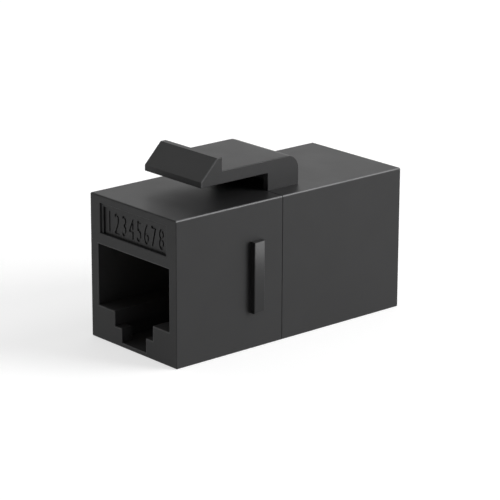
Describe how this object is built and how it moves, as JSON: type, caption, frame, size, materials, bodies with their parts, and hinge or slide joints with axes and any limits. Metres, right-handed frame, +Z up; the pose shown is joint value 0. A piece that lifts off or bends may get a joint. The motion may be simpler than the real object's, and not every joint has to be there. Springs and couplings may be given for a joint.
{
  "type": "rj45 inline coupler",
  "caption": "Snap-in inline coupler for modular network plugs: a plug socket at each end, a hooked latch arm on top and a stop rib on each side.",
  "frame": {"origin": "middle of the underside, halfway between the two port faces", "axes": "+X across the ports, -Y out of the front port, +Z up through the latch"},
  "size_m": [0.016, 0.0324, 0.0212],
  "materials": {
    "housing": "black, satin moulded surface",
    "carrier": "matte black moulding",
    "contact": "gold plated spring metal",
    "board": "green lacquer"
  },
  "bodies": {
    "root": {"front_housing": "housing", "rear_housing": "housing", "front_contact_carrier": "carrier", "rear_contact_carrier": "carrier", "circuit_board": "board", "front_contact_1": "contact", "front_contact_2": "contact", "front_contact_3": "contact", "front_contact_4": "contact", "front_contact_5": "contact", "front_contact_6": "contact", "front_contact_7": "contact", "front_contact_8": "contact", "rear_contact_1": "contact", "rear_contact_2": "contact", "rear_contact_3": "contact", "rear_contact_4": "contact", "rear_contact_5": "contact", "rear_contact_6": "contact", "rear_contact_7": "contact", "rear_contact_8": "contact"}
  },
  "joints": []
}
